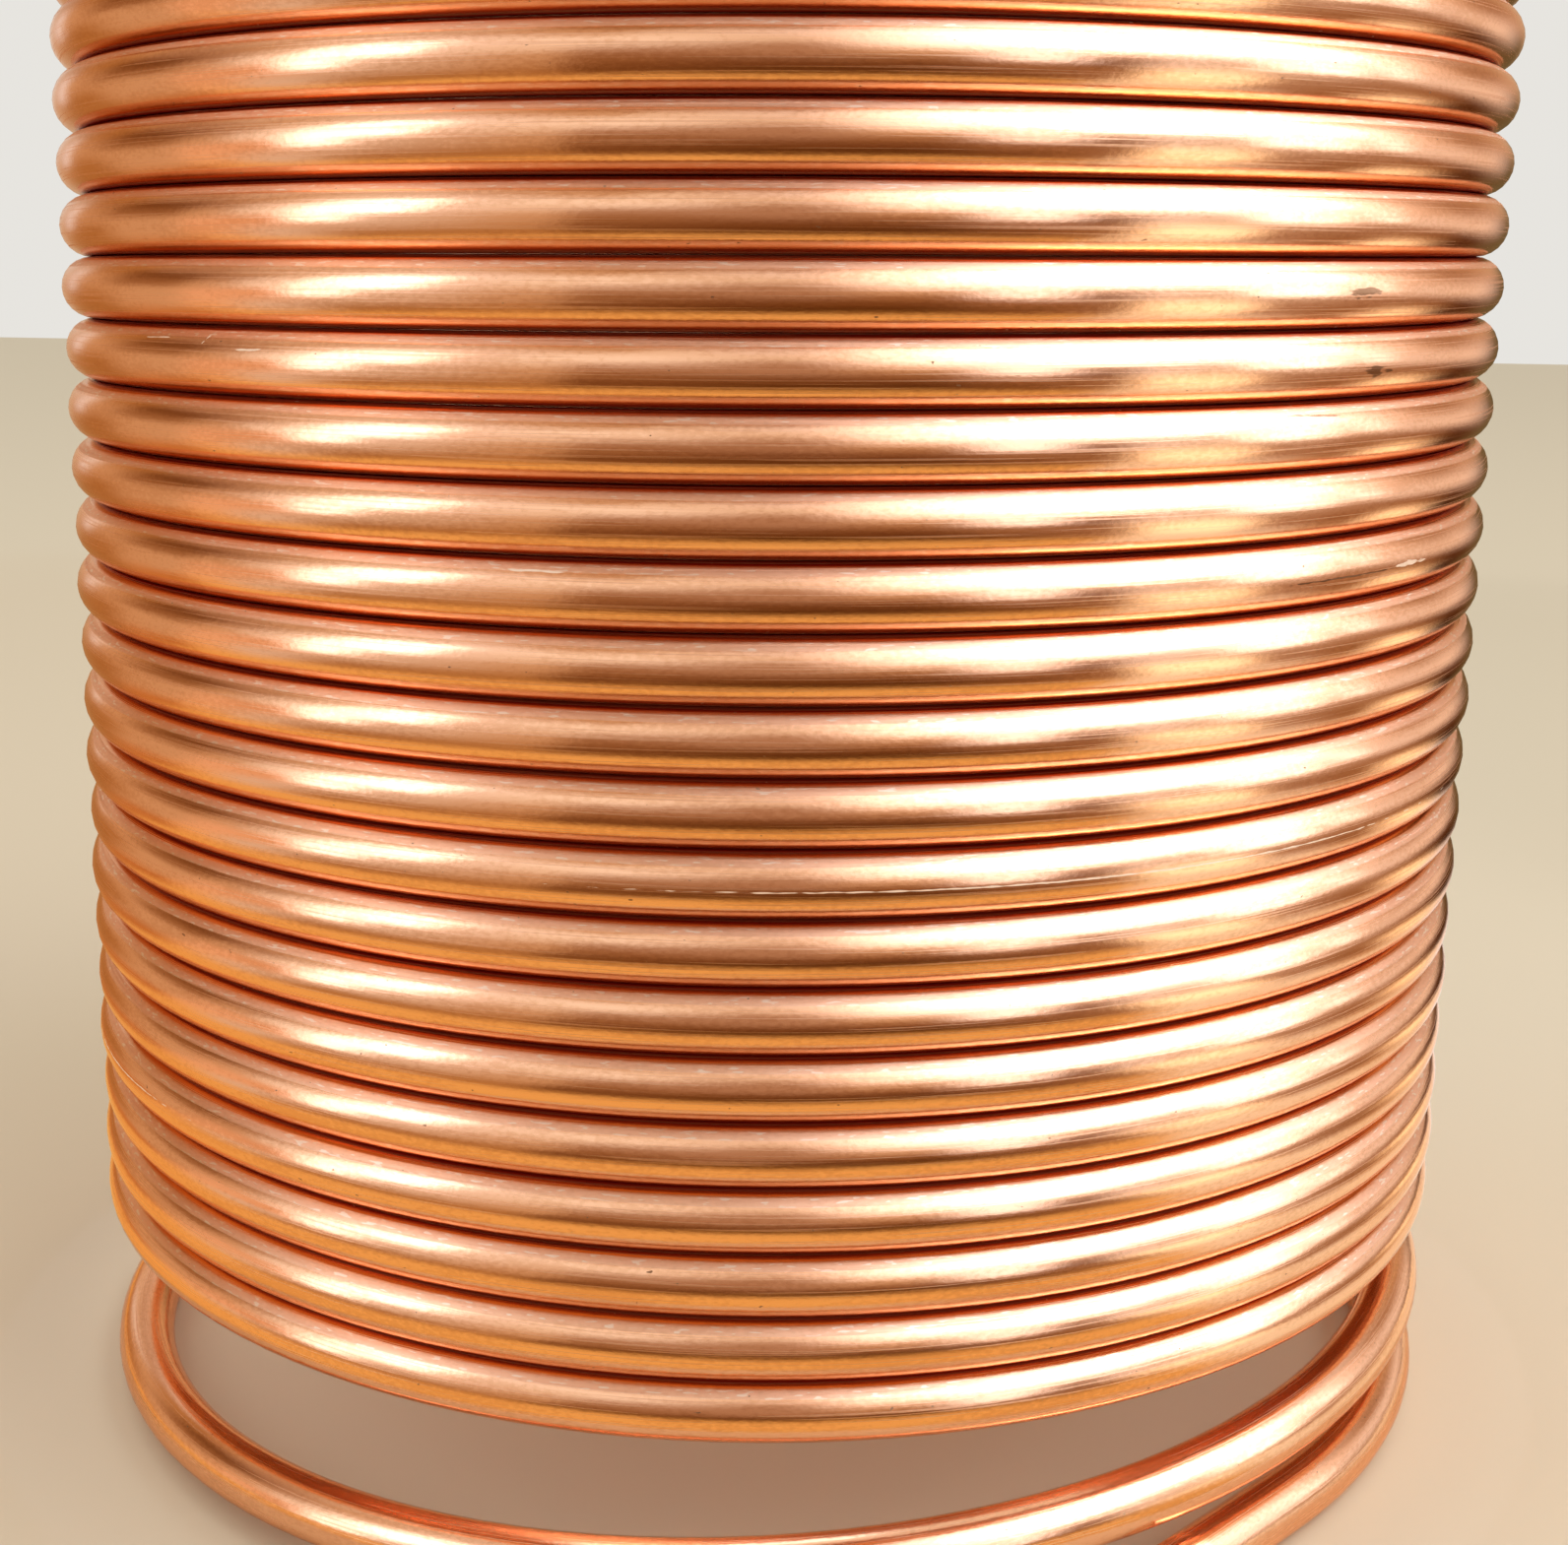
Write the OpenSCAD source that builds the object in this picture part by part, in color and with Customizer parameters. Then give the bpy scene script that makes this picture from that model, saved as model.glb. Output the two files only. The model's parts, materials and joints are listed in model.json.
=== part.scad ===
// Coil of plain round copper wire, standing on its end on a level floor.
// One length of wire: a tight stack of turns, then a last turn that has sprung loose
// and winds down to the floor, where it lies flat and ends in a short straight piece.
// The stack's turns are flat rings, but its lowest and highest turns climb as the wire does.
// Units are millimetres. Z is up, the floor is z = 0 and the coil's axis is the Z axis.

/* [Wire] */
// Diameter of the round wire
wire_d = 8; // [4:0.5:16]
// Length of the straight cut end that a lug or splice goes on
straight_end = 25; // [10:1:60]

/* [Coil] */
// Diameter across the outside of the turns
coil_d = 202; // [120:2:400]
// Turns in the tight stack
tight_turns = 24; // [4:1:60]
// Angle by which the top turn stops short of a full turn
top_end_gap = 18; // [5:1:90]

/* [Loose turn] */
// Height that the loose turn leaves under the tight stack on its far side
gap_far = 4.4; // [0:0.1:8]
// Height that it leaves under the stack where it comes down on the floor
gap_near = 18.4; // [8:0.1:40]
// Angle of the loose wire that lies flat on the floor
floor_arc = 225; // [180:5:240]

/* [Hidden] */
$fn = 96;
wire_r = wire_d / 2;
turn_r = coil_d / 2 - wire_r;         // axis of the coil to the wire's centre
bite = 0.03;                          // neighbouring turns press into each other
turn_pitch = wire_d - bite;
bead_r = 1.2;                         // a bead joins neighbouring turns where they touch
mandrel_flat = 0.05;                  // the mandrel leaves each flat turn this much flatter inside
bore_r = turn_r - wire_r + mandrel_flat;

flat_turns = tight_turns - 2;         // the lowest and the highest turn climb
loose_r = turn_r - 0.3;               // climbing and loose wire stays inside the flat turns' outline
merge = 0.6;                          // a climbing turn runs into a flat one this far off its centre
clear = 0.2;                          // the wire comes loose this far below the lowest flat turn

floor_z = wire_r;                                   // centre height of wire on the floor
stack_z = floor_z + gap_near + wire_d;              // centre height of the stack's lowest wire
flat_z = stack_z + turn_pitch;                      // centre height of the lowest flat turn
top_z = flat_z + (flat_turns - 1) * turn_pitch;     // centre height of the highest flat turn
loose_z = flat_z - wire_d - clear;                  // where the wire comes loose, at -X
far_z = stack_z - wire_d - gap_far;                 // centre height of the loose turn at +X
end_a = 180 - floor_arc;                            // angle at which the flat wire turns straight

trim_a = 0.25;                        // arcs of different slope stop this far short of each other
collar_r = wire_r - 0.02;             // and a short collar joins them
collar_l = 1.2;

copper = [0.85, 0.52, 0.36];

// Half of a cut through the flat turns: a round for each turn, a bead where two of them
// touch, and the inner side of each round pressed flat.
module stack_section() {
    difference() {
        union() {
            for (turn = [0 : flat_turns - 1])
                translate([turn_r, turn * turn_pitch])
                    circle(r = wire_r);
            for (turn = [1 : flat_turns - 1])
                translate([turn_r, (turn - 0.5) * turn_pitch])
                    circle(r = bead_r);
        }
        translate([0, -wire_d])
            square([bore_r, (flat_turns + 1) * wire_d]);
    }
}

// The flat turns, as one turned solid.
module flat_stack() {
    translate([0, 0, flat_z])
        rotate_extrude()
            stack_section();
}

// Wire along an arc around Z, which starts at angle from_a.
module wire_arc(arc_r, from_a, sweep_a) {
    rotate([0, 0, from_a])
        rotate_extrude(angle = sweep_a)
            translate([arc_r, 0])
                circle(r = wire_r);
}

// Part of a turn around Z from angle from_a to to_a, at height left_z over -X and right_z
// over +X. It is a flat ring, tipped about the Y axis.
module sloping_arc(from_a, to_a, left_z, right_z) {
    tip = atan((right_z - left_z) / (2 * loose_r));
    translate([0, 0, (left_z + right_z) / 2])
        rotate([0, -tip, 0])
            wire_arc(loose_r / cos(tip), from_a, to_a - from_a);
}

// Joins two arcs that meet at x, at height z.
module collar(x, z) {
    translate([x, 0, z])
        rotate([90, 0, 0])
            cylinder(r = collar_r, h = collar_l, center = true);
}

// A turn that climbs from -X in front to +X and on behind, and stops short of -X by stop_a.
module climbing_turn(from_z, far_side_z, to_z, stop_a = 0) {
    sloping_arc(180 + trim_a, 360 - trim_a, from_z, far_side_z);
    collar(loose_r, far_side_z);
    sloping_arc(trim_a, 180 - stop_a, to_z, far_side_z);
}

// The lowest turn of the stack runs up into the flat turns, and the highest one leaves them.
module climbing_turns() {
    climbing_turn(loose_z, stack_z + turn_pitch / 2, flat_z - merge);
    climbing_turn(top_z + merge, top_z + turn_pitch / 2, top_z + turn_pitch, top_end_gap);
}

// The straight cut end, which leaves the flat wire at the angle end_a.
module cut_end() {
    translate([0, 0, floor_z])
        rotate([0, 0, end_a])
            translate([loose_r, 0, 0])
                rotate([90, 0, 0])
                    cylinder(r = wire_r, h = straight_end);
}

// The loose wire: down behind to +X, on down in front to -X, then flat on the floor.
module loose_turn() {
    collar(-loose_r, loose_z);
    sloping_arc(trim_a, 180 - trim_a, loose_z, far_z);
    collar(loose_r, far_z);
    sloping_arc(180 + trim_a, 360 - trim_a, floor_z, far_z);
    collar(-loose_r, floor_z);
    translate([0, 0, floor_z])
        wire_arc(loose_r, end_a, floor_arc - trim_a);
    cut_end();
}

module wire_coil() {
    color(copper)
        union() {
            flat_stack();
            climbing_turns();
            loose_turn();
        }
}

wire_coil();
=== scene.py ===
"""A coil of bright copper wire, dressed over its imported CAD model. All lengths are in metres."""

import json
import math

import bpy
from mathutils import Euler, Matrix, Vector


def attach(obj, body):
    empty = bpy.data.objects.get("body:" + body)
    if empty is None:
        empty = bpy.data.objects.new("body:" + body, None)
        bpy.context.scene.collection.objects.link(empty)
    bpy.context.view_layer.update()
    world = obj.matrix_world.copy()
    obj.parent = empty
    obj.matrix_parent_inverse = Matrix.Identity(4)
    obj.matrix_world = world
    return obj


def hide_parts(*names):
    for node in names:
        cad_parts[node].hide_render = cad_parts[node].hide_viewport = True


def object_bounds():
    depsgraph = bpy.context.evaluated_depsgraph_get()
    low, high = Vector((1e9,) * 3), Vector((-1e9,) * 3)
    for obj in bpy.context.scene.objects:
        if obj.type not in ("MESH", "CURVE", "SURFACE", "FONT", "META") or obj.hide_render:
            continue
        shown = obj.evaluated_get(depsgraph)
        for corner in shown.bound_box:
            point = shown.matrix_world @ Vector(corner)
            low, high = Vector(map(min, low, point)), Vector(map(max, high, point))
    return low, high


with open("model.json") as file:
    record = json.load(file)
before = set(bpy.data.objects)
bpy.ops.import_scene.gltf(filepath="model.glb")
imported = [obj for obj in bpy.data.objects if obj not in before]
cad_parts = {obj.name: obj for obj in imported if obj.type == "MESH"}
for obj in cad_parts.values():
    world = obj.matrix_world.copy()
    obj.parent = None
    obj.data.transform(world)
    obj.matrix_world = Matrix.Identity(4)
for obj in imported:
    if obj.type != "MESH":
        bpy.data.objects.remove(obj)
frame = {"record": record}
cad_low, cad_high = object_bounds()

# The wire and the coil, with the values of the part's source.
MOUNTS = {m["name"]: m for m in frame["record"]["mounts"]}
CAD_WIRE_R = MOUNTS["wire_end"]["dims"]["r_mm"] / 1000
STRAIGHT_END = MOUNTS["wire_end"]["dims"]["length_mm"] / 1000
WIRE_R = CAD_WIRE_R - 0.00001  # a hair thinner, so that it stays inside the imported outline
TURN_R = (cad_high.x - cad_low.x) / 2 - CAD_WIRE_R
TURN_PITCH = 0.00797  # as in the source, a little under the wire's diameter
TIGHT_TURNS = 22.95  # with the loose turn and the floor arc, this makes 15 m of wire
TIGHT_INSET = 0.00016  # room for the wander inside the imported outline
TOP_ANGLE = math.pi + TIGHT_TURNS * math.tau
GAP_FAR = 0.0044  # height that the loose turn leaves under the stack at +X
GAP_NEAR = 0.0184  # and at -X, where it comes down on the floor
LOOSE_INSET = 0.0003  # by this much the loose turn is smaller in radius
FLOOR_ARC = math.radians(225)  # the wire that lies flat on the floor

FLOOR_Z = CAD_WIRE_R
STACK_Z = FLOOR_Z + GAP_NEAR + 2 * CAD_WIRE_R
FAR_Z = STACK_Z - 2 * CAD_WIRE_R - GAP_FAR

# How finely the wire is divided along a turn, along the straight end and around its section.
STEPS_PER_TURN = 120
STRAIGHT_STEPS = 4
SIDES = 24

# The camera, as fitted to the photograph's turns. The groove at its own height is near the
# photograph's upper edge, and the grooves below it curve down.
CAMERA_HEIGHT = 20.378 * 2 * CAD_WIRE_R
CAMERA_DISTANCE = 41.863 * 2 * CAD_WIRE_R
CAMERA_DOWN = math.radians(12.854)
CAMERA_YAW = math.radians(0.237)
CAMERA_ROLL = math.radians(1.014)
LENS_MM = 51.22
SENSOR_MM = 36


# --- The wire's centre line ---

# Two slow waves by which the turns stray: size in metres, rate over the angle, and phase.
WANDERS = ((0.00008, 0.61, 0.7), (0.00006, 1.37, 2.1))
LOOSENING = 1.0  # radians over which the wire goes from the tight radius to the loose one


def wander(angle):
    """How far a turn strays inwards or outwards, at an angle counted on through all the turns."""
    return sum(size * math.sin(rate * angle + phase) for size, rate, phase in WANDERS)


def radius_at(angle):
    """The turn's radius, a little smaller where the wire has sprung loose."""
    loose = min(1.0, max(0.0, (math.pi - angle) / LOOSENING))
    tight_r = TURN_R - TIGHT_INSET + wander(angle)
    return tight_r + (TURN_R - LOOSE_INSET - tight_r) * loose


def height_at(angle):
    """The centre line's height. The wire leaves the stack at pi and reaches the floor at -pi."""
    if angle > math.pi:
        return STACK_Z + TURN_PITCH * (angle - math.pi) / math.tau
    if angle > 0:
        along_stack = STACK_Z + TURN_PITCH * (angle - math.pi) / math.tau
        drop = STACK_Z - TURN_PITCH / 2 - FAR_Z
        return along_stack - drop * (1 + math.cos(angle)) / 2
    if angle > -math.pi:
        return FLOOR_Z + (FAR_Z - FLOOR_Z) * (1 + math.cos(angle)) / 2
    return FLOOR_Z


def centre_line():
    """Points of the wire's centre line with the outward direction there, from the top end down."""
    end = -math.pi - FLOOR_ARC
    steps = round((TOP_ANGLE - end) / math.tau * STEPS_PER_TURN)
    line = []
    for i in range(steps + 1):
        angle = TOP_ANGLE + (end - TOP_ANGLE) * i / steps
        outward = Vector((math.cos(angle), math.sin(angle), 0))
        line.append((outward * radius_at(angle) + Vector((0, 0, height_at(angle))), outward))
    last, outward = line[-1]
    ahead = Vector((outward.y, -outward.x, 0))
    for i in range(STRAIGHT_STEPS):
        line.append((last + ahead * STRAIGHT_END * (i + 1) / STRAIGHT_STEPS, outward))
    return line


# --- The wire's mesh ---

BEVEL = 0.0004  # the bevelled rim of a cut end
TOUCHING_GAP = (0.0001, 0.0007)  # turns this near still touch, and turns this far don't
FAR_APART = 1.0  # stands for the gap where there is no other turn
ENDS = 2  # the faces of the cut ends, last in the mesh


def sections():
    """Each cross-section as centre, outward and upward directions, radius and length so far."""
    line = centre_line()
    rows = []
    travelled = 0.0
    for i, (point, outward) in enumerate(line):
        before = line[max(i - 1, 0)][0]
        after = line[min(i + 1, len(line) - 1)][0]
        along = (after - before).normalized()
        if i:
            travelled += (point - line[i - 1][0]).length
        rows.append((point, outward, along.cross(outward), along, travelled))
    centre, outward, upward, along, _ = rows[0]
    result = [(centre, outward, upward, WIRE_R - BEVEL, 0.0)]
    result.append((centre + along * BEVEL, outward, upward, WIRE_R, BEVEL))
    for centre, outward, upward, _, travelled in rows[1:-1]:
        result.append((centre, outward, upward, WIRE_R, travelled))
    centre, outward, upward, along, travelled = rows[-1]
    result.append((centre - along * BEVEL, outward, upward, WIRE_R, travelled - BEVEL))
    result.append((centre, outward, upward, WIRE_R - BEVEL, travelled))
    return result


def touching(row):
    """How closely the turns above and below touch here, from 0 to 1, for a place in the rows."""
    angle = TOP_ANGLE - row * math.tau / STEPS_PER_TURN
    gaps = []
    for upper, lower in ((angle + math.tau, angle), (angle, angle - math.tau)):
        inside = upper <= TOP_ANGLE and lower >= -math.pi
        gap = height_at(upper) - height_at(lower) - 2 * WIRE_R
        gaps.append(gap if inside else FAR_APART)
    return [1 - smooth(gap, *TOUCHING_GAP) for gap in gaps]


def smooth(value, low, high):
    """0 below low, 1 above high, and a smooth step between."""
    t = min(1.0, max(0.0, (value - low) / (high - low)))
    return t * t * (3 - 2 * t)


def wire_points(rows):
    """Points round the sections, with their places on the wire and how closely a turn touches."""
    points, places, touches = [], [], []
    for row, (centre, outward, upward, radius, travelled) in enumerate(rows):
        above, below = touching(row)
        for k in range(SIDES):
            touches.append(above if k < SIDES / 2 else below)
            turn = math.tau * k / SIDES
            side = outward * math.cos(turn) + upward * math.sin(turn)
            points.append(centre + side * radius)
            places.append((travelled, WIRE_R * math.cos(turn), WIRE_R * math.sin(turn)))
    return points, places, touches


def wire_faces(count):
    """The faces between this many sections, and last the two ends."""
    faces = []
    for i in range(count - 1):
        a, b = i * SIDES, (i + 1) * SIDES
        for k in range(SIDES):
            n = (k + 1) % SIDES
            faces.append((a + k, a + n, b + n, b + k))
    faces.append(tuple(reversed(range(SIDES))))
    last = (count - 1) * SIDES
    faces.append(tuple(range(last, last + SIDES)))
    return faces


def make_wire():
    """One closed mesh, with each point's place along and around the wire kept for the material."""
    rows = sections()
    points, places, touches = wire_points(rows)
    faces = wire_faces(len(rows))
    mesh = bpy.data.meshes.new("wire_coil_visual")
    mesh.from_pydata(points, [], faces)
    mesh.polygons.foreach_set("use_smooth", [True] * (len(faces) - ENDS) + [False] * ENDS)
    place = mesh.attributes.new("place", "FLOAT_VECTOR", "POINT")
    place.data.foreach_set("vector", [c for p in places for c in p])
    touch = mesh.attributes.new("touch", "FLOAT", "POINT")
    touch.data.foreach_set("value", touches)
    mesh.update()
    wire = bpy.data.objects.new("copper_wire", mesh)
    bpy.context.scene.collection.objects.link(wire)
    return wire


# --- The copper ---

BRIGHT = (0.95, 0.53, 0.32)  # clean drawn copper
DULL = (0.82, 0.42, 0.23)  # where handling has tarnished it
TOP_SHADE = (0.62, 0.25, 0.11)  # painted shade: brown on top of a turn, beside the line where the next touches
UNDER_SHADE = (0.78, 0.38, 0.18)  # painted shade: lighter brown under a turn
DEEP = (0.36, 0.012, 0.002)  # painted shade: dull dark red in the lines where turns touch
FRESH_AND_HIGHLIGHT = (1.0, 0.82, 0.66)  # newly bared copper, in scratches and on the cut ends, and the painted highlight in the pale band and flecks
STAIN = (0.34, 0.18, 0.1)
EDGE_TINT = (0.95, 0.75, 0.6)  # keeps glancing reflections copper-coloured

# Marks: start and end, each as turns down from the top end and degrees up round the section
# from the outermost line, then half the width in metres.
SCRATCHES = (
    ((14.72, 0), (14.55, -2), 0.00010),
    ((10.747, 42), (10.735, 42), 0.00016),
    ((7.8145, 30), (7.8125, 57), 0.00009),
    ((7.804, 21), (7.796, 22), 0.00012),
    ((7.836, 37), (7.826, 39), 0.00007),
    ((10.567, -3), (10.556, -2), 0.0003),
    ((5.31, 12), (5.27, 13), 0.00009),
    ((19.9, 8), (19.84, 9), 0.00009),
)
STAINS = (
    ((8.602, 41), (8.587, 35), 0.00012),
    ((7.584, -13), (7.576, -10), 0.0006),
    ((6.590, 0), (6.581, 4), 0.0006),
    ((10.60, -9), (10.567, -6), 0.00013),
    ((12.3, 15), (12.29, 18), 0.0004),
)
MARK_EDGE = (1.2, 0.8)  # a mark fades in between these distances, 1 being its own outline
MARK_RAGGED = (2.4, -1.1)  # how the flecks' noise is stretched and shifted to ruffle that outline

# Noises over the wire: length of a grain along it, width round it, detail and offset.
NOISES = {
    "lines": (0.03, 0.00022, 1.0, 0.0),
    "streaks": (0.09, 0.0012, 2.0, 3.0),
    "grain": (0.0009, 0.0004, 2.0, 7.0),
    "patches": (0.02, 0.003, 3.0, 11.0),
    "specks": (0.0008, 0.0005, 0.0, 17.0),
    "flecks": (0.002, 0.0004, 1.0, 23.0),
}
NOISE_MIDDLE = 0.5

# The values of a noise between which each kind of wear sets in.
DRAWN = (0.52, 0.7)
PITTED = (0.86, 0.9)
# The flecks below are partly bared copper, partly painted glints.
FLECKED = (0.6, 0.66)
TARNISHED = (0.85, 1.15)  # of the patches with the grain added
TARNISH_GRAIN = 0.9
TARNISH_MOST = 0.7

# Bands round the section: where each starts and where it is full, as a height over the wire's
# middle, from -1 at the bottom to 1 at the top. Streaks make their edges waver.
# The bands above, below and in the lines where turns touch are painted shade; the two edges after
# them bound a pale band that is partly rubbing wear, partly painted highlight.
TOP_SHADE_BAND = (0.82, 0.93)
UNDER_SHADE_BAND = (-0.66, -0.86)
DEEP_ABOVE = (0.93, 0.98)
DEEP_BELOW = (-0.9, -0.98)
RUB_AND_HIGHLIGHT_LOWER_EDGE = (0.62, 0.7)
RUB_AND_HIGHLIGHT_UPPER_EDGE = (0.9, 0.8)
WAVER = 0.06

RUB_AND_HIGHLIGHT_PALE = 0.2  # how far the band just under a turn's top touching line is as pale as fresh copper: partly rubbing wear, partly painted highlight
BARED_AND_GLINT_PALE = 0.75  # the same for scratches, and for flecks that are partly bared copper, partly painted glints
DEEP_SHADE_MATT = 0.85  # how far the painted shade in the touching lines isn't metal
TORN_MATT = 0.8  # the same for scratches

# Roughness of clean metal, and what each kind of wear adds.
ROUGH_CLEAN = 0.11
ROUGH_PATCHES = 0.08
ROUGH_DRAWN = 0.18
ROUGH_RUBBED = 0.3
ROUGH_MARKED = 0.25

RELIEF = 0.000012  # height of the grain, in metres
LINE_HEIGHT = 0.3  # of the draw lines, where the grain's is 1
ANISOTROPY = 0.7
QUARTER_TURN = 0.25

# The sheared ends: the blade's marks run across, and the metal below the middle has torn.
BLADE_MARK = 0.0002
BLADE_STRETCH = 0.12
BLADE_DEPTH = 0.00006
TORN_RAGGED = 0.0012
TORN_EDGE = 0.0004
ROUGH_TORN = 0.5
ROUGH_SHEARED = 0.28


class Recipe:
    """A material's node tree, built up call by call. Values are sockets or plain numbers."""

    def __init__(self, name):
        self.material = bpy.data.materials.new(name)
        self.material.use_nodes = True
        self.tree = self.material.node_tree
        self.shader = self.tree.nodes["Principled BSDF"]

    def feed(self, socket, value):
        if isinstance(value, bpy.types.NodeSocket):
            self.tree.links.new(value, socket)
        else:
            socket.default_value = value

    def maths(self, operation, *values):
        node = self.tree.nodes.new("ShaderNodeMath")
        node.operation = operation
        for socket, value in zip(node.inputs, values):
            self.feed(socket, value)
        return node.outputs[0]

    def kept(self, name, output):
        """What the mesh keeps at each point under this name."""
        node = self.tree.nodes.new("ShaderNodeAttribute")
        node.attribute_name = name
        return node.outputs[output]

    def mark(self, flat, ragged, start, end, half_width):
        """A mark drawn on the flattened wire from start to end, 1 inside and with ragged edges."""
        a, b = on_flat(*start), on_flat(*end)
        node = self.tree.nodes.new("ShaderNodeMapping")
        node.vector_type = "TEXTURE"
        self.feed(node.inputs["Vector"], flat)
        node.inputs["Location"].default_value = (a + b) / 2
        node.inputs["Rotation"].default_value = (0, 0, math.atan2((b - a).y, (b - a).x))
        node.inputs["Scale"].default_value = ((b - a).length / 2, half_width, 1)
        reach = self.tree.nodes.new("ShaderNodeVectorMath")
        reach.operation = "LENGTH"
        self.feed(reach.inputs[0], node.outputs[0])
        return self.between(self.maths("ADD", reach.outputs["Value"], ragged), *MARK_EDGE)

    def marks(self, flat, ragged, rows):
        """All the marks of a list, as one mask."""
        mask = 0.0
        for row in rows:
            mask = self.maths("MAXIMUM", mask, self.mark(flat, ragged, *row))
        return mask

    def join(self, *values):
        node = self.tree.nodes.new("ShaderNodeCombineXYZ")
        for socket, value in zip(node.inputs, values):
            self.feed(socket, value)
        return node.outputs[0]

    def split(self, vector):
        node = self.tree.nodes.new("ShaderNodeSeparateXYZ")
        self.feed(node.inputs[0], vector)
        return node.outputs

    def noise(self, place, length, width, detail, offset=0.0):
        """Noise with grains of this length along the wire and this width around it, in metres."""
        node = self.tree.nodes.new("ShaderNodeMapping")
        self.feed(node.inputs["Vector"], place)
        node.inputs["Scale"].default_value = (1 / length, 1 / width, 1 / width)
        node.inputs["Location"].default_value = (offset, offset, offset)
        noise = self.tree.nodes.new("ShaderNodeTexNoise")
        noise.inputs["Scale"].default_value = 1.0
        noise.inputs["Detail"].default_value = detail
        self.feed(noise.inputs["Vector"], node.outputs[0])
        return noise.outputs["Fac"]

    def between(self, value, low, high, to_low=0.0, to_high=1.0):
        """A smooth step from to_low to to_high as the value goes from low to high."""
        node = self.tree.nodes.new("ShaderNodeMapRange")
        node.interpolation_type = "SMOOTHSTEP"
        for socket, number in zip(node.inputs, (value, low, high, to_low, to_high)):
            self.feed(socket, number)
        return node.outputs[0]

    def blend(self, factor, first, second):
        node = self.tree.nodes.new("ShaderNodeMix")
        node.data_type = "RGBA"
        self.feed(node.inputs["Factor"], factor)
        for name, colour in (("A", first), ("B", second)):
            socket = next(i for i in node.inputs if i.name == name and i.type == "RGBA")
            self.feed(socket, (*colour, 1) if isinstance(colour, tuple) else colour)
        return next(o for o in node.outputs if o.type == "RGBA")

    def bump(self, height, distance):
        node = self.tree.nodes.new("ShaderNodeBump")
        node.inputs["Strength"].default_value = 1.0
        node.inputs["Distance"].default_value = distance
        self.feed(node.inputs["Height"], height)
        return node.outputs[0]


def on_flat(turns, degrees):
    """A place on the flattened wire: metres along it from the top end, and up round its section."""
    turn_length = math.hypot(math.tau * (TURN_R - TIGHT_INSET), TURN_PITCH)
    return Vector((turns * turn_length, math.radians(degrees) * WIRE_R, 0))


def bands(metal, upward, streaks):
    """Masks of the bands round the section beside a touching turn, by name: painted shade beside and
    in the touching lines, and a pale band that is partly rubbing wear, partly painted highlight.
    """
    touch = metal.kept("touch", "Fac")
    side = metal.maths("DIVIDE", upward, WIRE_R)
    side = metal.maths("MULTIPLY_ADD", metal.maths("SUBTRACT", streaks, NOISE_MIDDLE), WAVER, side)
    above = metal.between(side, *DEEP_ABOVE)
    below = metal.between(side, *DEEP_BELOW)
    rub_and_highlight = metal.maths(
        "MULTIPLY", metal.between(side, *RUB_AND_HIGHLIGHT_LOWER_EDGE), metal.between(side, *RUB_AND_HIGHLIGHT_UPPER_EDGE)
    )
    return {
        "top_shade": metal.maths("MULTIPLY", metal.between(side, *TOP_SHADE_BAND), touch),
        "under_shade": metal.maths("MULTIPLY", metal.between(side, *UNDER_SHADE_BAND), touch),
        "deep": metal.maths("MULTIPLY", metal.maths("MAXIMUM", above, below), touch),
        "rub_and_highlight": metal.maths("MULTIPLY", rub_and_highlight, touch),
    }


def wear(metal):
    """Masks of everything that changes the copper's look, by name, and the noises."""
    place = metal.kept("place", "Vector")
    along, outward, upward = metal.split(place)
    on = {name: metal.noise(place, *values) for name, values in NOISES.items()}
    on.update(bands(metal, upward, on["streaks"]))

    tarnish = metal.maths("MULTIPLY_ADD", on["grain"], TARNISH_GRAIN, on["patches"])
    on["dull"] = metal.between(tarnish, *TARNISHED, 0.0, TARNISH_MOST)
    clear = metal.between(on["under_shade"], 1.0, 0.0)
    on["drawn"] = metal.maths("MULTIPLY", metal.between(on["lines"], *DRAWN), clear)
    on["pits"] = metal.between(on["specks"], *PITTED)
    # Flecks in the pale band: partly bared copper, partly painted glints.
    on["fleck"] = metal.maths("MULTIPLY", metal.between(on["flecks"], *FLECKED), on["rub_and_highlight"])

    around = metal.maths("MULTIPLY", metal.maths("ARCTAN2", upward, outward), WIRE_R)
    flat = metal.join(along, around, 0.0)
    ragged = metal.maths("MULTIPLY_ADD", on["flecks"], *MARK_RAGGED)
    on["scratched"] = metal.marks(flat, ragged, SCRATCHES)
    on["stained"] = metal.marks(flat, ragged, STAINS)
    return on


def colour_of(metal, on):
    """The copper's colour under its wear, with painted shade where turns touch, and a pale band and
    flecks that are partly wear, partly painted highlight.
    """
    colour = metal.blend(on["dull"], BRIGHT, DULL)
    colour = metal.blend(on["top_shade"], colour, TOP_SHADE)
    colour = metal.blend(on["under_shade"], colour, UNDER_SHADE)
    colour = metal.blend(on["deep"], colour, DEEP)
    colour = metal.blend(metal.maths("MAXIMUM", on["pits"], on["stained"]), colour, STAIN)
    bared_and_glints = metal.maths("MAXIMUM", on["scratched"], on["fleck"])
    pale = metal.maths("MULTIPLY", bared_and_glints, BARED_AND_GLINT_PALE)
    pale = metal.maths("MULTIPLY_ADD", on["rub_and_highlight"], RUB_AND_HIGHLIGHT_PALE, pale)
    return metal.blend(pale, colour, FRESH_AND_HIGHLIGHT)


def metallic_of(metal, on):
    """How far the surface is metal: the painted shade in the touching lines and the torn metal of a
    scratch scatter light instead.
    """
    deep_shade = metal.maths("MULTIPLY", on["deep"], DEEP_SHADE_MATT)
    torn = metal.maths("MULTIPLY", on["scratched"], TORN_MATT)
    return metal.maths("SUBTRACT", 1.0, metal.maths("MAXIMUM", deep_shade, torn))


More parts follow.
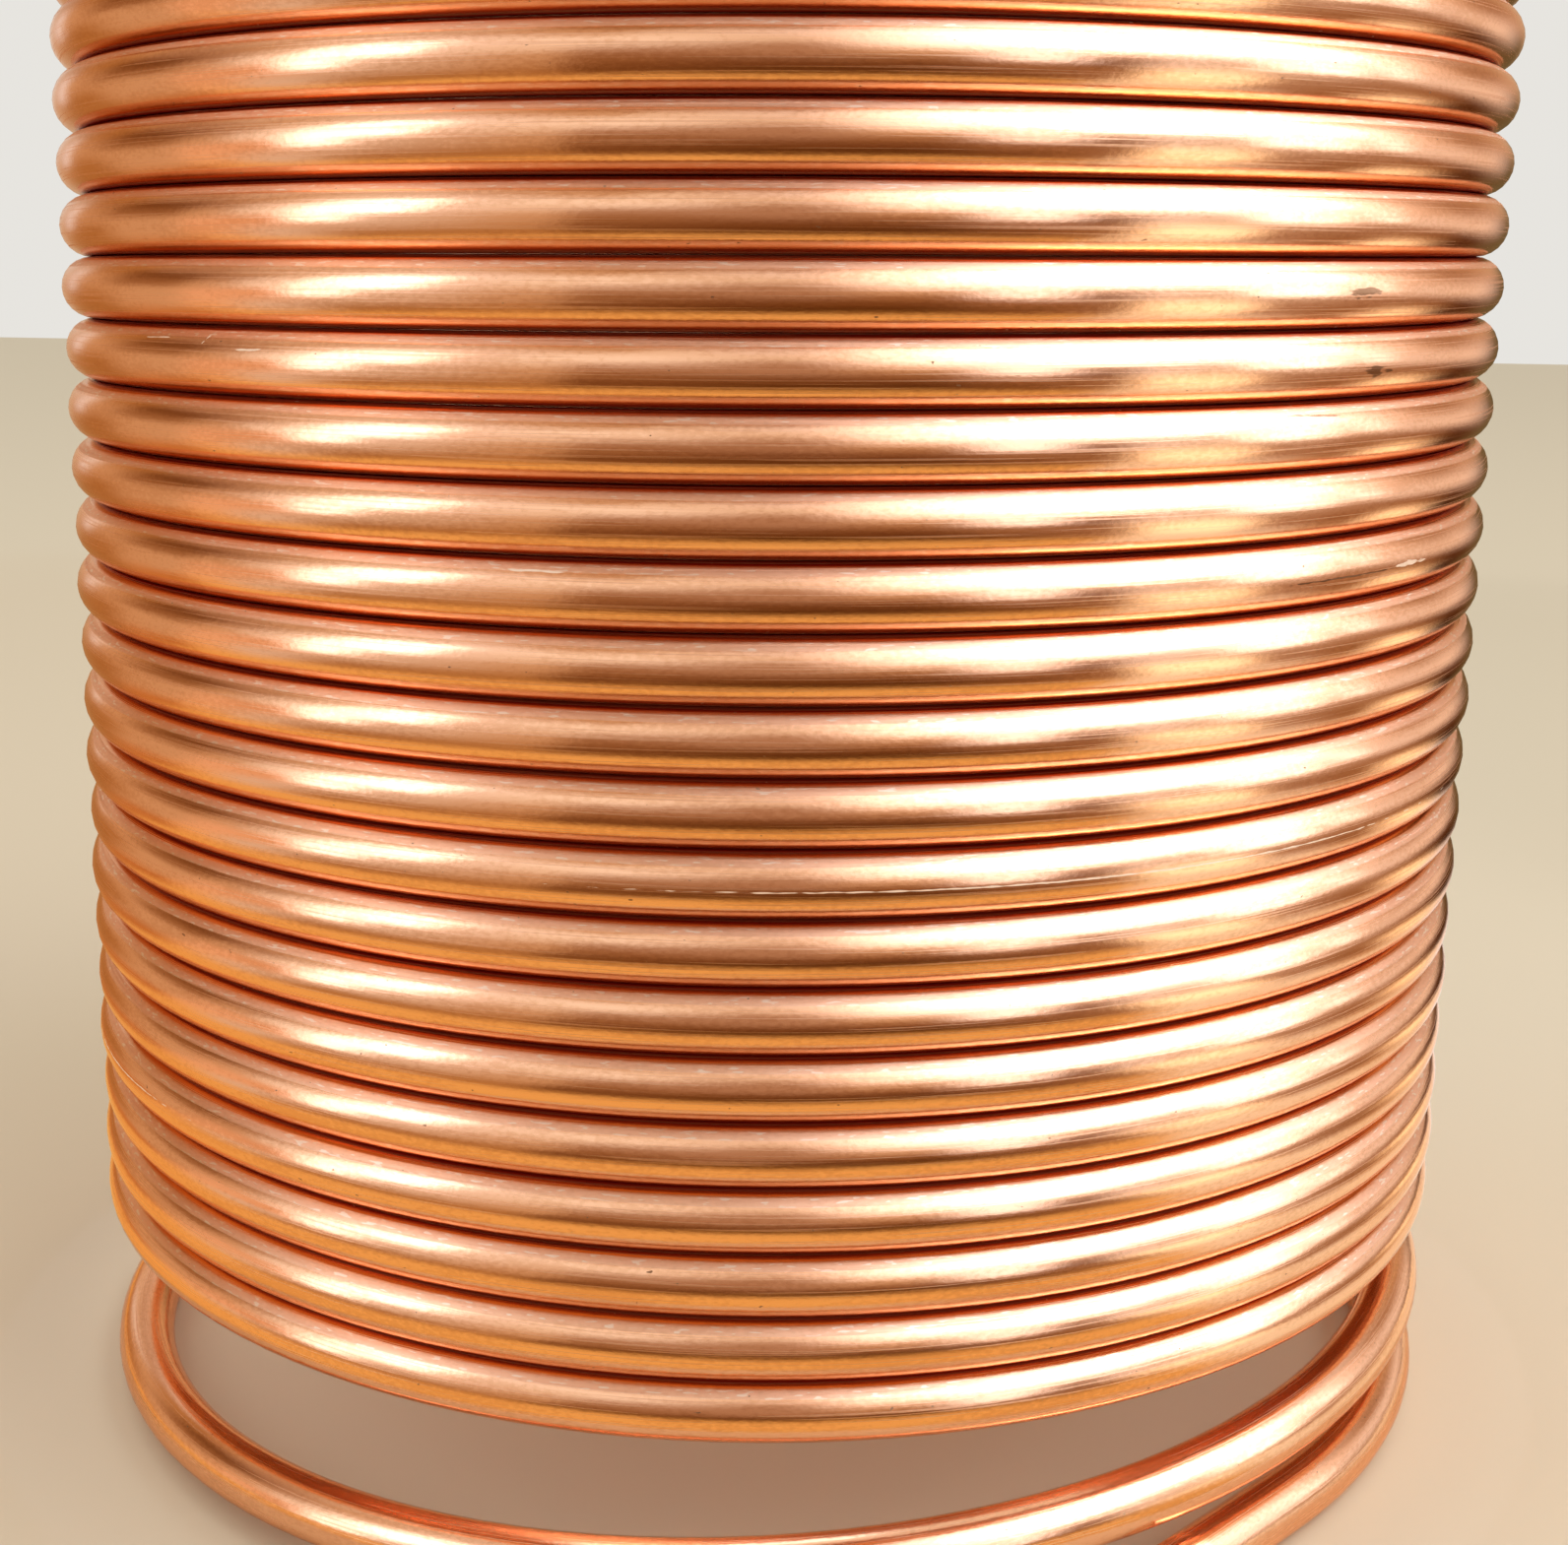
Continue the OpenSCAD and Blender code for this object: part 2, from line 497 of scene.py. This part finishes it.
def roughness_of(metal, on):
    """Smooth drawn metal, rougher by patches, draw lines, rubbing, pits and scratches."""
    rough = metal.maths("MULTIPLY_ADD", on["patches"], ROUGH_PATCHES, ROUGH_CLEAN)
    rough = metal.maths("MULTIPLY_ADD", on["drawn"], ROUGH_DRAWN, rough)
    rough = metal.maths("MULTIPLY_ADD", on["rub_and_highlight"], ROUGH_RUBBED, rough)
    rough = metal.maths("MULTIPLY_ADD", on["pits"], ROUGH_MARKED, rough)
    return metal.maths("MULTIPLY_ADD", on["scratched"], ROUGH_MARKED, rough)


def copper():
    """Bright drawn copper: draw lines, fine grain, tarnish, marks, painted shade where turns touch,
    and a pale band that is partly rubbing wear, partly painted highlight.
    """
    metal = Recipe("bright_drawn_copper")
    on = wear(metal)
    inputs = metal.shader.inputs
    metal.feed(inputs["Base Color"], colour_of(metal, on))
    metal.feed(inputs["Metallic"], metallic_of(metal, on))
    metal.feed(inputs["Roughness"], roughness_of(metal, on))
    inputs["Specular Tint"].default_value = (*EDGE_TINT, 1)
    inputs["Anisotropic"].default_value = ANISOTROPY
    inputs["Anisotropic Rotation"].default_value = QUARTER_TURN
    height = metal.maths("MULTIPLY_ADD", on["lines"], LINE_HEIGHT, on["grain"])
    metal.feed(inputs["Normal"], metal.bump(height, RELIEF))
    return metal.material


def cut_copper():
    """The sheared ends: fresh copper with the marks of the blade across it."""
    metal = Recipe("cut_copper")
    inputs = metal.shader.inputs
    _, outward, upward = metal.split(metal.kept("place", "Vector"))
    across = metal.maths("MULTIPLY", outward, BLADE_STRETCH)
    face = metal.join(0.0, across, upward)
    shear = metal.noise(face, length=1.0, width=BLADE_MARK, detail=2.0)
    edge = metal.maths("MULTIPLY_ADD", shear, TORN_RAGGED, upward)
    torn = metal.between(edge, -TORN_EDGE, TORN_EDGE)
    metal.feed(inputs["Base Color"], metal.blend(shear, DULL, FRESH_AND_HIGHLIGHT))
    inputs["Metallic"].default_value = 1.0
    metal.feed(inputs["Roughness"], metal.between(torn, 0.0, 1.0, ROUGH_TORN, ROUGH_SHEARED))
    metal.feed(inputs["Normal"], metal.bump(shear, BLADE_DEPTH))
    return metal.material


# --- The studio ---

# Tones of the surround, as the metal sees them.
DAYLIGHT = (1.12, 1.15, 1.16)
SUNLIT = (1.8, 1.75, 1.4)
WHITE = (1.0, 0.98, 1.02)
CREAM = (0.92, 0.85, 0.76)
STONE = (0.78, 0.7, 0.62)
PEACH = (0.9, 0.6, 0.4)
APRICOT = (0.84, 0.5, 0.28)
SAND = (0.66, 0.47, 0.3)
CLAY = (0.46, 0.3, 0.2)
UMBER = (0.34, 0.18, 0.08)
BROWN = (0.19, 0.08, 0.025)
BLACK = (0.1, 0.035, 0.006)
VOID = (0.04, 0.012, 0.002)
OCHRE = (0.46, 0.25, 0.09)
RUST = (0.6, 0.28, 0.09)
OLIVE = (0.16, 0.12, 0.05)
GOLD = (0.9, 0.58, 0.2)
PALE_GOLD = (1.05, 1.03, 0.9)

# The surround's columns: the azimuth of each, and its tones at elevations from the floor up.
BACK_WALL = ((-60, GOLD), (-20, SAND), (10, SAND), (40, WHITE), (70, CREAM))
WALLS = (
    (-180, BACK_WALL),
    (-150, ((-55, GOLD), (-36, RUST), (-12, OCHRE), (0, SAND), (10, STONE), (24, CLAY),
            (48, SAND), (60, CREAM))),
    (-128, ((-52, GOLD), (-40, RUST), (-22, OCHRE), (-8, OCHRE), (10, SAND), (26, OCHRE),
            (40, SAND), (58, CREAM))),
    (-112, ((-52, GOLD), (-36, RUST), (-12, SAND), (2, SAND), (12, UMBER), (24, BROWN),
            (36, CLAY), (48, SAND), (60, CREAM))),
    (-101, ((-52, GOLD), (-36, RUST), (-18, SAND), (0, SAND), (12, UMBER), (24, BROWN),
            (36, CLAY), (48, STONE), (60, CREAM))),
    (-91, ((-55, GOLD), (-5, PEACH), (12, SAND), (26, CLAY), (42, SAND), (60, STONE))),
    (-77, ((-55, GOLD), (-28, STONE), (-2, APRICOT), (16, DAYLIGHT), (36, CREAM), (64, STONE))),
    (-60, ((-55, GOLD), (-40, OCHRE), (-8, STONE), (15, WHITE), (48, WHITE), (64, SAND),
           (76, UMBER))),
    (-33, ((-60, GOLD), (-42, OCHRE), (0, SAND), (20, CREAM), (40, DAYLIGHT), (60, SAND),
           (78, UMBER))),
    (-26, ((-62, GOLD), (-36, BROWN), (-5, UMBER), (8, CLAY), (36, DAYLIGHT), (60, CREAM),
           (78, CLAY))),
    (2, ((-66, GOLD), (-38, BLACK), (-22, BROWN), (4, CLAY), (22, CLAY), (48, CREAM),
         (62, WHITE), (80, CLAY))),
    (18, ((-66, GOLD), (-36, BLACK), (-20, BROWN), (-8, UMBER), (10, SAND), (24, CREAM),
          (66, CREAM), (82, CLAY))),
    (32, ((-66, GOLD), (-38, BROWN), (-20, UMBER), (-6, CLAY), (8, STONE), (60, CREAM),
          (82, CLAY))),
    (44, ((-64, GOLD), (-38, UMBER), (-20, UMBER), (-4, BROWN), (6, UMBER), (18, CREAM),
          (40, WHITE))),
    (55, ((-60, PALE_GOLD), (-24, SUNLIT), (0, WHITE), (20, WHITE))),
    (64, ((-60, PALE_GOLD), (-27, SUNLIT), (0, CREAM), (20, WHITE))),
    (75, ((-58, PALE_GOLD), (-46, STONE), (-34, CLAY), (-22, CLAY), (0, STONE), (20, WHITE))),
    (92, ((-58, PALE_GOLD), (-48, SAND), (-38, UMBER), (-26, UMBER), (-8, CLAY), (6, CREAM))),
    (108, ((-45, PALE_GOLD), (-31, SUNLIT), (-12, UMBER), (4, WHITE), (26, SAND), (44, SAND))),
    (128, ((-40, DAYLIGHT), (-32, DAYLIGHT), (-22, VOID), (-12, BLACK), (2, WHITE), (22, CLAY),
           (45, WHITE))),
    (148, ((-44, CREAM), (-30, STONE), (-20, OLIVE), (3, OLIVE), (14, SAND), (24, SAND),
           (45, CREAM))),
    (165, ((-44, SAND), (-26, OLIVE), (8, OLIVE), (18, SAND), (30, OLIVE), (60, CREAM))),
    (180, BACK_WALL),
)

# The surround's soft lamps: azimuth, elevation, half width, half height, width of the soft edge
# and radiance.
LAMPS = (
    (62, 49, 44, 25, 38, 3.3),
    (66, 48, 26, 14, 24, 10.0),
    (34, 8, 6, 16, 12, 2.0),
    (78, 16, 9, 18, 12, 2.9),
    (96, 14, 4, 11, 8, 2.1),
    (-61, 26, 8, 16, 10, 3.5),
    (-68, 14, 5, 24, 10, 2.8),
    (-138, 8, 3, 8, 8, 1.0),
    (-165, 48, 24, 18, 24, 2.6),
)
LAMP_TINT = (0.94, 1.02, 1.18)
FLOOR_SHADOW = (-89, -77)  # the elevations between which the floor comes out of the coil's shadow
SHADOW_TONE = 0.15

# The surround's angles are counted from a ring of this radius and at this height.
COIL_EDGE = 0.1
COIL_MIDDLE = 0.12
WALL_DISTANCE = 0.9  # from that ring
FLOOR_CLEARANCE = 0.001  # the surround's lower part lies this far above the floor
LOWEST = -81  # elevation of the surround's lower rim
GRID = 3  # degrees between the surround's corners

FLOOR_SIZE = 8
FLOOR_COLOUR = (0.7, 0.6, 0.44)
FLOOR_ROUGHNESS = 0.8
WORLD_COLOUR = (0.8, 0.78, 0.74)

# The real lamps: azimuth, elevation, distance, size and radiance.
KEY = (60, 48, 2.5, 1.8, 2.2)
FILL = (-65, 30, 2.5, 1.0, 1.6)


def floor_material():
    """A matt material of one colour."""
    material = bpy.data.materials.new("pale_floor")
    material.use_nodes = True
    shader = material.node_tree.nodes["Principled BSDF"]
    shader.inputs["Base Color"].default_value = (*FLOOR_COLOUR, 1)
    shader.inputs["Roughness"].default_value = FLOOR_ROUGHNESS
    return material


def floor():
    """A plain pale floor."""
    bpy.ops.mesh.primitive_plane_add(size=FLOOR_SIZE)
    plane = bpy.context.object
    plane.name = "floor"
    plane.data.materials.append(floor_material())


def compass(azimuth, distance, height):
    """A place round the coil. Azimuth 0 is the camera's side, and 90 is towards +X."""
    a = math.radians(azimuth)
    return Vector((distance * math.sin(a), -distance * math.cos(a), height))


def softbox(name, azimuth, elevation, distance, size, radiance):
    """A soft lamp facing the coil. It lights what is matt: the metal mirrors the surround instead."""
    data = bpy.data.lights.new(name, "AREA")
    data.size = size
    data.energy = math.pi * radiance * size * size
    lamp = bpy.data.objects.new(name, data)
    e = math.radians(elevation)
    towards = compass(azimuth, math.cos(e), math.sin(e))
    lamp.location = towards * distance + Vector((0, 0, COIL_MIDDLE))
    lamp.rotation_mode = "QUATERNION"
    lamp.rotation_quaternion = towards.to_track_quat("Z", "Y")
    lamp.visible_camera = False
    lamp.visible_glossy = False
    bpy.context.scene.collection.objects.link(lamp)


def between_stops(stops, at):
    """The colour at a place along stops of (place, colour)."""
    if at <= stops[0][0]:
        return Vector(stops[0][1])
    for (low, first), (high, second) in zip(stops, stops[1:]):
        if at <= high:
            return Vector(first).lerp(Vector(second), smooth(at, low, high))
    return Vector(stops[-1][1])


def surround_tone(azimuth, elevation):
    """What the metal sees in a direction: the columns, blended into each other, and the lamps."""
    tone = between_stops([(a, between_stops(rows, elevation)) for a, rows in WALLS], azimuth)
    for a, e, half_width, half_height, edge, radiance in LAMPS:
        across = 1 - smooth(abs(azimuth - a), half_width - edge / 2, half_width + edge / 2)
        upright = 1 - smooth(abs(elevation - e), half_height - edge / 2, half_height + edge / 2)
        tone = tone.lerp(Vector(LAMP_TINT) * radiance, across * upright)
    return tone * (SHADOW_TONE + (1 - SHADOW_TONE) * smooth(elevation, *FLOOR_SHADOW))


def surround_mesh():
    """A bowl round the coil, with the tones at its corners."""
    azimuths = range(-180, 180 + 1, GRID)
    elevations = range(LOWEST, 90 + 1, GRID)
    points, tones, faces = [], [], []
    for elevation in elevations:
        e = math.radians(elevation)
        reach = WALL_DISTANCE
        if elevation < 0:
            reach = min(reach, (COIL_MIDDLE - FLOOR_CLEARANCE) / math.sin(-e))
        for azimuth in azimuths:
            height = COIL_MIDDLE + reach * math.sin(e)
            points.append(compass(azimuth, COIL_EDGE + reach * math.cos(e), height))
            tones.append((*surround_tone(azimuth, elevation), 1))
    wide = len(azimuths)
    for i in range(len(elevations) - 1):
        for k in range(wide - 1):
            a = i * wide + k
            faces.append((a, a + 1, a + wide + 1, a + wide))
    mesh = bpy.data.meshes.new("surround")
    mesh.from_pydata(points, [], faces)
    tone = mesh.color_attributes.new("tone", "FLOAT_COLOR", "POINT")
    tone.data.foreach_set("color", [c for t in tones for c in t])
    return mesh


def surround():
    """A bowl of soft tones round the coil that only reflections see."""
    mesh = surround_mesh()
    mesh.materials.append(glow("surround"))
    bowl = bpy.data.objects.new("surround", mesh)
    bpy.context.scene.collection.objects.link(bowl)
    bowl.visible_camera = False
    bowl.visible_diffuse = False
    bowl.visible_shadow = False


def glow(name):
    """A material that shines with the mesh's own tones."""
    material = bpy.data.materials.new(name)
    material.use_nodes = True
    nodes, links = material.node_tree.nodes, material.node_tree.links
    nodes.remove(nodes["Principled BSDF"])
    tone = nodes.new("ShaderNodeAttribute")
    tone.attribute_name = "tone"
    emission = nodes.new("ShaderNodeEmission")
    links.new(tone.outputs["Color"], emission.inputs["Color"])
    links.new(emission.outputs["Emission"], nodes["Material Output"].inputs["Surface"])
    return material


def studio():
    """Floor, soft lamps, the surround that the metal mirrors, and a plain pale world."""
    floor()
    softbox("key", *KEY)
    softbox("fill", *FILL)
    surround()
    world = bpy.data.worlds.new("world")
    world.use_nodes = True
    world.node_tree.nodes["Background"].inputs["Color"].default_value = (*WORLD_COLOUR, 1)
    bpy.context.scene.world = world


def camera():
    """The photograph's view."""
    data = bpy.data.cameras.new("camera")
    data.lens = LENS_MM
    data.sensor_width = SENSOR_MM
    view = bpy.data.objects.new("camera", data)
    view.location = (0, -CAMERA_DISTANCE, CAMERA_HEIGHT)
    level = Euler((math.pi / 2 - CAMERA_DOWN, 0, -CAMERA_YAW)).to_matrix()
    view.rotation_euler = (level @ Matrix.Rotation(CAMERA_ROLL, 3, "Z")).to_euler()
    bpy.context.scene.collection.objects.link(view)
    bpy.context.scene.camera = view


camera()
studio()
wire = make_wire()
wire.data.materials.append(copper())
wire.data.materials.append(cut_copper())
for face in wire.data.polygons[-ENDS:]:
    face.material_index = 1
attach(wire, "root")
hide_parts("wire_coil")
bpy.context.scene.view_settings.view_transform = "Standard"
